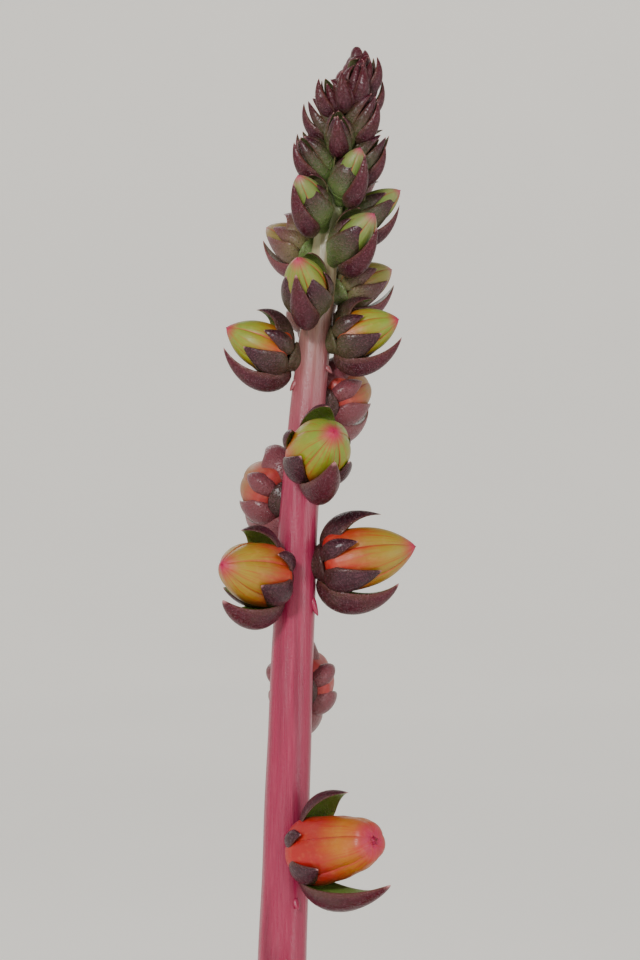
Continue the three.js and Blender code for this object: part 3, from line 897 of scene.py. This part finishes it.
class ECHEVERIA_OT_stem_leaves(bpy.types.Operator):
    """Adds the small leaves on the bare part of the flower stem"""

    bl_idname = "echeveria.stem_leaves"
    bl_label = "Stem leaves"

    def execute(self, context):
        settings = context.scene.echeveria_bloom
        bm = new_shape(*CALYX_LAYERS)
        for i in range(STEM_LEAF_COUNT):
            share = i / (STEM_LEAF_COUNT - 1)
            t = stem_at(mix(*STEM_LEAVES, share))
            out = facing(FIRST_STEM_LEAF + i * GOLDEN_ANGLE)
            root = stem_point(t) + out * (stem_radius(t) - 1.2)
            length = mix(*STEM_LEAF_LENGTHS, share)
            steps = ((0, 0), (0.34, 0.1), (0.5, 0.55), (0.5, 0.95))
            midline = [root + out * (a * length) + UP * (b * length) for a, b in steps]
            form = Form(length * 0.34, length * 0.2, 0.08, (0.6, 0.7))
            add_blade(bm, midline, UP, form, 18, 16, youth=0.25, bract=1, shade=0)
        skin = ("sepal_skin", sepal_finish, settings)
        finish_piece(bm, "spike_leaves", skin, ["flower_stem"], rounds=1)
        return {"FINISHED"}


# Blooms
# shade is painted shade: it grows as a bloom faces the back, away from the key light, and the finishes
# paint such blooms duller and paler by it
CALYX_LAYERS = ("along", "across", "inner", "youth", "bract", "shade")
Bloom = namedtuple("Bloom", "base along up side steepness roll length radius scale youth height shade")


def bloom_frame(row, pedicel=PEDICEL):
    """Where a bloom sits: along is its axis, up leads to the stem's tip and side is across both."""
    height, direction, lift, roll, stretch = row
    t = stem_at(BLOOMS_FROM + height)
    rise = RISE + height * RISE_PER_MM + max(height - STEEPER_FROM, 0) * STEEPENING + lift
    out = facing(direction)
    along = out * cosine(rise) + UP * sine(rise)
    up = out * -sine(rise) + UP * cosine(rise)
    length = BLOOM_LENGTH - TAPER * max(height - FULL_GROWN, 0)
    size = length / BLOOM_LENGTH
    return Bloom(
        base=stem_point(t) + out * (stem_radius(t) + pedicel),
        along=along,
        up=up,
        side=along.cross(up),
        steepness=sine(rise) / cosine(rise),
        roll=roll,
        length=length * stretch,
        radius=BLOOM_RADIUS * size**1.3,
        scale=size**0.8,
        youth=smoothstep(height, 45, 108),
        height=height,
        # painted shade: how far the bloom faces the back, away from the key light
        shade=smoothstep(along.y, 0.1, 0.8),
    )


def in_bloom(bloom, s, r, turn):
    """The point s along a bloom's axis and r out from it towards turn, where 90 degrees is up."""
    return bloom.base + bloom.along * s + bloom.up * (r * sine(turn)) + bloom.side * (r * cosine(turn))


def tube_width(s):
    """A tube's width there, as a share of its greatest."""
    if s < TUBE_FULLEST:
        return 1 - TUBE_NARROWING * (1 - s / TUBE_FULLEST) ** 3
    return 1 - ((s - TUBE_FULLEST) / (1 - TUBE_FULLEST)) ** 3


# The oldest bloom's tube is blunt, with its petals' tips turned in over its mouth
BLUNT_WIDTH = [(0, 1.0), (0.12, 1.1), (0.42, 1.02), (0.72, 0.85), (0.9, 0.64), (0.97, 0.46), (1, 0.3)]


def add_petal(bm, bloom, index, lap, opened, ripe):
    """One petal of the tube: keeled outside, its one edge over the next petal's."""
    share = 360 / PETALS
    keel_turn = 90 + share / 2 + bloom.roll + share * index
    start = GAP + 0.25 * bloom.radius * bloom.steepness
    rows = 18
    for vert, row, turn in balls_rings(bm, 18, rows):
        t = clamp((row - 1) / (rows - 1))
        a = math.cos(turn) if 0 < row < rows else 0
        inside = max(math.sin(turn), 0) if 0 < row < rows else 0
        width = through(BLUNT_WIDTH, t) if opened else tube_width(t)
        keel = mix(1, 0.88, abs(a) ** 1.8)
        thickness = PETAL_THICKNESS * bloom.scale * (1 - 0.5 * a * a)
        r = bloom.radius * width * keel + lap * a * (1 - t**5) - inside * thickness
        s = start + t * bloom.length
        if row == 0:
            r, s = bloom.radius * 0.3, start - 0.2
        r = max(r, 0.05)
        if row == rows:
            r, s = (-1.2, s - 0.5) if opened else (-0.2, s)
        vert.co = in_bloom(bloom, s, r, keel_turn + a * share / 2 * PETAL_REACH)
        marks = {"along": t, "across": abs(a), "inner": inside, "lane": a + 3 * index}
        mark(bm, vert, ripe=ripe, shade=bloom.shade, **marks)


def add_calyx_blade(bm, bloom, turn, points, form, twist=0, bract=0):
    """A sepal or bract through four points given as (s, r), which leans clear of the stem."""
    midline = []
    for (s, r), share, far in zip(points, (0, 0.9, 0.4, 0), (0, 0, 0.5, 1)):
        way = turn + twist * far
        forward = share * max(sine(way), 0) * bloom.steepness * r
        midline.append(in_bloom(bloom, s + forward, r, way))
    add_blade(bm, midline, bloom.along, form, youth=bloom.youth, bract=bract, shade=bloom.shade)


def add_sepal(bm, bloom, sepal, spread):
    """One sepal, which lies on the tube or, where it stands off, arches over it."""
    turn, old_reach, young_reach, width, twist, stand = sepal
    scale, radius, length = bloom.scale, bloom.radius, bloom.length
    thickness = max((1.1 if turn < 180 else 1.4) * scale, 0.8)
    reach = mix(old_reach, young_reach, bloom.youth**2) * length
    clear = GAP * 0.5 + thickness * 0.2
    off = (stand + 0.1) * scale
    if stand:
        off += spread
    else:
        reach *= 1 - 0.24 * spread
    points = [
        (0, 0.4 * radius),
        ((0.4 if stand else 0.9) * scale, radius + clear + off),
        (reach * 0.5, radius * 1.02 + clear + off),
        (reach, tube_width(min(reach / length, 1)) * radius + clear + off + spread * (0.5 if stand else 0)),
    ]
    wide = width * scale * mix(1, 1.55, bloom.youth**2)
    form = Form(wide, thickness, 0.4 if stand else 0.17, (0.42, 0.85))
    add_calyx_blade(bm, bloom, turn + bloom.roll, points, form, twist)


def add_bract(bm, bloom, spread):
    """The bract below the bloom, which holds it like a boat."""
    young = bloom.youth
    points = [
        (-1, 1.2),
        (-0.9, mix(6.4, 5.7, young) + spread * 0.8),
        (5.2 + spread * 2, mix(7.3, 6.3, young) + spread * 0.8),
        (mix(9, 10.4, young) + spread * 6, mix(4.2, 1.8, young**0.6) + spread * 1.2),
    ]
    points = [(s * bloom.scale, r * bloom.scale) for s, r in points]
    width, thickness = mix(5, 4.3, young) * bloom.scale, max(2.1 * bloom.scale, 1)
    form = Form(width, thickness, 0.34, (0.6, mix(0.75, 1, young)))
    add_calyx_blade(bm, bloom, BELOW, points, form, bract=1)


def add_receptacle(bm, bloom):
    """The bloom's base, which joins its sepals and meets the stem."""
    rings = [(-2.8, 0), (-2.7, 1.1), (-1.6, 1.4), (-0.7, 1.9), (0.0, 2.8), (0.4, 2.7), (0.5, 0)]
    for vert, row, turn in balls_rings(bm, 18, len(rings) - 1):
        s, r = rings[row]
        vert.co = in_bloom(bloom, s * bloom.scale, r * bloom.scale, math.degrees(turn))
        mark(bm, vert, along=0, across=0, inner=0, youth=bloom.youth, bract=0, shade=0)


# The colours along a sepal, a bract and a petal from its root, each (how far along, colour as seen)
YOUNG_SEPAL = [(0.15, (0.38, 0.48, 0.25)), (0.52, (0.25, 0.29, 0.16)), (0.85, (0.19, 0.03, 0.09))]
OLD_BRACT = [(0.1, (0.22, 0.10, 0.10)), (0.45, (0.22, 0.03, 0.09)), (0.9, (0.28, 0.01, 0.09))]
YOUNG_BRACT = [(0.08, (0.30, 0.27, 0.18)), (0.4, (0.20, 0.03, 0.09))]
YOUNG_PETAL = [(0.55, (0.36, 0.46, 0.19)), (0.84, (0.46, 0.50, 0.29)), (0.98, (0.64, 0.22, 0.36))]
HALF_RIPE_PETAL = [
    (0.04, (0.66, 0.17, 0.13)),
    (0.28, (0.64, 0.35, 0.12)),
    (0.5, (0.52, 0.52, 0.13)),
    (0.82, (0.46, 0.54, 0.17)),
]


def sepal_finish(name, settings):
    finish = Finish(name, FLESH | {"Roughness": 0.3, "Specular IOR Level": 0.32, "Subsurface Weight": 0.04})
    along, across, inner = (finish.attribute(word) for word in ("along", "across", "inner"))
    youth, bract, shade = (finish.attribute(word) for word in ("youth", "bract", "shade"))
    broad = finish.grain(420, 3)
    young = finish.spread(youth, 0.35, 0.9)
    old_sepal = finish.blend(finish.spread(along, 0.5, 0.1, 0, 0.5), settings.sepal, (0.24, 0.17, 0.12))
    sepal = finish.blend(young, old_sepal, finish.ramp(along, YOUNG_SEPAL))
    young_bract = finish.ramp(along, [*YOUNG_BRACT, (0.8, settings.wine)])
    bracts = finish.blend(young, finish.ramp(along, OLD_BRACT), young_bract)
    outer = finish.blend(bract, sepal, bracts)
    outer = finish.tint(outer, broad, 0.48, 0.72, 0.22, (0.24, 0.22, 0.13))
    outer = finish.tint(outer, across, 0.86, 1.0, 0.35, (0.38, 0.24, 0.17))
    inside = finish.blend(young, settings.inside, (0.25, 0.28, 0.15))
    colour = finish.blend(finish.spread(inner, 0.1, 0.45), outer, inside)
    # Painted shade: blooms facing the back, away from the key light, are painted a duller, paler pink
    colour = finish.blend(finish.product(shade, 0.6), colour, (0.50, 0.25, 0.28))
    colour = finish.tint(colour, along, 0.955, 1.0, 1, (0.72, 0.50, 0.50))
    # Pale speckles and dots: partly the sepals' own fine pale speckling, partly a painted highlight
    # standing for the speckled glint of the light on them
    dots, stipple_and_sheen = finish.cells(4300), finish.grain(4200, 2, rough=0.6)
    colour = finish.tint(colour, stipple_and_sheen, 0.46, 0.66, 0.16, (0.58, 0.36, 0.42))
    colour = finish.tint(colour, dots, 0.28, 0.08, 0.26, (0.72, 0.52, 0.57))
    rough = finish.spread(dots, 0.1, 0.45, 0.16, 0.34)
    bumps = [(finish.spread(dots, 0.5, 0.0), 0.08), (finish.grain(1900, 2), 0.07)]
    return finish.done(colour, rough, bumps)


def petal_finish(name, settings):
    finish = Finish(name, FLESH | {"Roughness": 0.42, "Specular IOR Level": 0.35, "Subsurface Weight": 0.1})
    along, across, ripe, shade = (finish.attribute(word) for word in ("along", "across", "ripe", "shade"))
    streaks = finish.lanes(finish.attribute("lane"), along)
    young = finish.ramp(along, [(0.0, settings.green), *YOUNG_PETAL])
    middle = finish.ramp(along, [*HALF_RIPE_PETAL, (0.96, settings.pink)])
    reds = [(0.04, settings.coral), (0.45, (0.61, 0.14, 0.10))]
    tips = [(0.86, (0.67, 0.36, 0.14)), (0.97, settings.pink)]
    full = finish.ramp(along, [*reds, (0.72, settings.yellow), *tips])
    colour = finish.blend(finish.spread(ripe, 0.0, 0.5), young, middle)
    colour = finish.blend(finish.spread(ripe, 0.5, 0.9), colour, full)
    keel = finish.product(finish.spread(across, 0.5, 0.0), finish.spread(along, 0.8, 0.3))
    keel = finish.product(keel, finish.spread(ripe, 0.2, 1.0, 0.15, 0.9))
    keel = finish.product(keel, finish.spread(streaks, 0.25, 0.5, 0.4, 1.0))
    colour = finish.blend(keel, colour, settings.coral)
    streak = finish.spread(streaks, 0.5, 0.68, 0, 0.55)
    lines = finish.product(streak, finish.spread(ripe, 0, 0.6, 0.25, 1))
    colour = finish.blend(lines, colour, (0.66, 0.12, 0.09))
    colour = finish.tint(colour, across, 0.82, 0.97, 0.6, (0.66, 0.10, 0.12))
    # Painted shade: petals of blooms facing the back, away from the key light, are painted a muted, duller
    # red
    colour = finish.blend(finish.product(shade, 0.6), colour, (0.56, 0.22, 0.22))
    grain = finish.grain(1300, 3)
    colour = finish.tint(colour, grain, 0.5, 0.75, 0.08, (0.88, 0.66, 0.42))
    return finish.done(colour, finish.spread(grain, 0.3, 0.7, 0.34, 0.5), [(streaks, 0.05), (grain, 0.04)])


# How much of its ripe colour a bloom loses from one height to another: (share, from, to)
GREENING = [(0.3, 20, 46), (0.25, 46, 66), (0.45, 74, 92)]


def ripeness(height):
    return 1 - sum(share * smoothstep(height, low, high) for share, low, high in GREENING)


def add_bloom(name, row, opened, settings):
    """The two pieces of one bloom: its calyx and its petals."""
    bloom = bloom_frame(row)
    spread = 1 if opened else 0
    calyx = new_shape(*CALYX_LAYERS)
    add_receptacle(calyx, bloom)
    for sepal in SEPALS:
        add_sepal(calyx, bloom, sepal, spread)
    add_bract(calyx, bloom, spread)
    skin = ("sepal_skin", sepal_finish, settings)
    finish_piece(calyx, name + "_sepals", skin, [name + "_calyx"], rounds=1)
    tube = new_shape("along", "across", "inner", "ripe", "lane", "shade")
    for index in range(PETALS):
        add_petal(tube, bloom, index, settings.petal_lap / MM, opened, ripeness(bloom.height))
    skin = ("petal_skin", petal_finish, settings)
    finish_piece(tube, name + "_tube", skin, [name + "_petals"], rounds=1)


class ECHEVERIA_OT_blooms(bpy.types.Operator):
    """Adds the blooms, each a calyx and five petals"""

    bl_idname = "echeveria.blooms"
    bl_label = "Blooms"

    def execute(self, context):
        for i, row in enumerate(BLOOMS):
            add_bloom(f"bloom_{i + 1:02d}", row, i == 0, context.scene.echeveria_bloom)
        return {"FINISHED"}


class ECHEVERIA_OT_buds(bpy.types.Operator):
    """Adds the buds above the blooms"""

    bl_idname = "echeveria.buds"
    bl_label = "Buds"

    def execute(self, context):
        for i, row in enumerate(BUDS):
            add_bloom(f"bud_{i + 1:02d}", row, False, context.scene.echeveria_bloom)
        return {"FINISHED"}


class ECHEVERIA_OT_head(bpy.types.Operator):
    """Adds the head of the smallest buds, which hide their petals"""

    bl_idname = "echeveria.head"
    bl_label = "Head of buds"

    def execute(self, context):
        settings = context.scene.echeveria_bloom
        draw = random.Random(5)
        bm = new_shape(*CALYX_LAYERS)
        for row in TIP_BUDS:
            bloom = bloom_frame(row, TIP_PEDICEL)
            scale, length = bloom.scale, bloom.length
            bud = new_shape(*CALYX_LAYERS)
            red = smoothstep(bloom.height, 100, 107)
            sepal = Form(3.6 * scale, max(1.7 * scale, 0.9), 0.18, (0.5, 0.82))
            for turn in TIP_SEPALS:
                reach = length * draw.uniform(0.82, 1.02)
                points = [(-0.3 * length, 0.7 * scale), (-0.1, 3.4 * scale)]
                points += [(0.5 * reach, 3.2 * scale), (reach, 0.5)]
                add_calyx_blade(bud, bloom, turn, points, sepal, bract=red)
            bract = Form(4.5 * scale, max(2.6 * scale, 0.9), 0.2, (0.6, 0.92))
            points = [(s * scale, r * scale) for s, r in TIP_BRACT]
            add_calyx_blade(bud, bloom, BELOW, points, bract, bract=1)
            take_in(bm, bud)
        skin = ("sepal_skin", sepal_finish, settings)
        finish_piece(bm, "head_buds", skin, ["bud_head"], rounds=1)
        return {"FINISHED"}


# Studio
def floor_finish(name, settings):
    glow = {"Emission Color": linear(settings.floor), "Emission Strength": settings.glow}
    finish = Finish(name, glow | {"Roughness": 0.8, "Specular IOR Level": 0.2})
    broad = finish.grain(3, 2)
    dim = toned(settings.floor, 0.97)
    return finish.done(finish.ramp(broad, [(0.3, dim), (0.7, settings.floor)]))


def add_area_light(name, place, aim, size, power):
    light = bpy.data.lights.new(name, "AREA")
    light.shape = "DISK"
    light.size = size
    light.energy = power
    lamp = bpy.data.objects.new(name, light)
    lamp.location = Vector(place)
    lamp.rotation_euler = (Vector(aim) - lamp.location).to_track_quat("-Z", "Y").to_euler()
    bpy.context.scene.collection.objects.link(lamp)


class ECHEVERIA_OT_stage(bpy.types.Operator):
    """Adds the pale studio, its lights and the camera"""

    bl_idname = "echeveria.stage"
    bl_label = "Studio"

    def execute(self, context):
        settings = context.scene.echeveria_stage
        floor_radius, bend, wall_top = 3.0, 1.2, 3.4
        points = [Vector((0.001, 0, 0)), Vector((floor_radius * 0.5, 0, 0)), Vector((floor_radius, 0, 0))]
        for step in range(1, 13):
            angle = step / 12 * math.pi / 2
            points.append(Vector((floor_radius + bend * math.sin(angle), 0, bend * (1 - math.cos(angle)))))
        points.append(Vector((floor_radius + bend, 0, wall_top)))
        bm = turned(points, 96, 0.002)
        floor = smooth_object(bm, "studio_floor", floor_finish("studio_paper", settings))
        floor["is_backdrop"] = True

        aim = (0.008, 0, 0.24)
        add_area_light("key_light", (-0.28, -0.8, 0.62), aim, 0.15, settings.key)
        add_area_light("fill_light", (0.8, -0.55, 0.3), aim, 0.5, settings.fill)
        add_area_light("back_light", (-0.4, 0.9, 0.9), aim, 0.6, settings.fill)

        world = bpy.data.worlds.new("studio_sky")
        world.use_nodes = True
        sky = world.node_tree.nodes["Background"]
        sky.inputs["Color"].default_value = linear(settings.floor)
        sky.inputs["Strength"].default_value = settings.sky
        context.scene.world = world

        lens = bpy.data.cameras.new("spike_camera")
        lens.lens = 100
        lens.sensor_width = 36
        lens.clip_start = 0.01
        camera = bpy.data.objects.new("spike_camera", lens)
        camera.location = (0.00875, -0.333, 0.257)
        camera.rotation_euler = (math.pi / 2, 0, 0)
        context.scene.collection.objects.link(camera)
        context.scene.camera = camera
        return {"FINISHED"}


class ECHEVERIA_PT_panel(bpy.types.Panel):
    """Lists the plant's pieces, with their sizes and colours"""

    bl_idname = "ECHEVERIA_PT_panel"
    bl_label = "Potted Echeveria"
    bl_space_type = "VIEW_3D"
    bl_region_type = "UI"
    bl_category = "Echeveria"

    def draw(self, context):
        for title, name, group, operators in SECTIONS:
            box = self.layout.box()
            box.label(text=title)
            for setting in group.__annotations__:
                box.prop(getattr(context.scene, name), setting)
            for operator in operators:
                box.operator(operator.bl_idname)


SECTIONS = [
    ("Pot", "echeveria_pot", PotSettings, [ECHEVERIA_OT_pot]),
    ("Soil", "echeveria_soil", SoilSettings, [ECHEVERIA_OT_soil, ECHEVERIA_OT_grit]),
    ("Rosette", "echeveria_rosette", RosetteSettings, [ECHEVERIA_OT_rosette, ECHEVERIA_OT_caudex]),
    ("Flower stem", "echeveria_stem", StemSettings, [ECHEVERIA_OT_flower_stem, ECHEVERIA_OT_stem_leaves]),
    (
        "Blooms",
        "echeveria_bloom",
        BloomSettings,
        [ECHEVERIA_OT_blooms, ECHEVERIA_OT_buds, ECHEVERIA_OT_head],
    ),
    ("Studio", "echeveria_stage", StageSettings, [ECHEVERIA_OT_stage]),
]
GROUPS = {name: group for _, name, group, _ in SECTIONS}
OPERATORS = [operator for *_, operators in SECTIONS for operator in operators]


def register():
    for item in [*GROUPS.values(), *OPERATORS, ECHEVERIA_PT_panel]:
        bpy.utils.register_class(item)
    for name, group in GROUPS.items():
        setattr(bpy.types.Scene, name, PointerProperty(type=group))


def unregister():
    for name in GROUPS:
        delattr(bpy.types.Scene, name)
    for item in [ECHEVERIA_PT_panel, *reversed(OPERATORS), *reversed(GROUPS.values())]:
        bpy.utils.unregister_class(item)


def main():
    register()
    bpy.ops.echeveria.stage()
    bpy.ops.echeveria.pot()
    bpy.ops.echeveria.soil()
    bpy.ops.echeveria.grit()
    bpy.ops.echeveria.caudex()
    bpy.ops.echeveria.rosette()
    bpy.ops.echeveria.flower_stem()
    bpy.ops.echeveria.stem_leaves()
    bpy.ops.echeveria.blooms()
    bpy.ops.echeveria.buds()
    bpy.ops.echeveria.head()
    boxes = {"cad": CAD_BOX, "visual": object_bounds()}
    plain = {name: [[float(v) for v in corner] for corner in box] for name, box in boxes.items()}


if __name__ == "__main__":
    main()
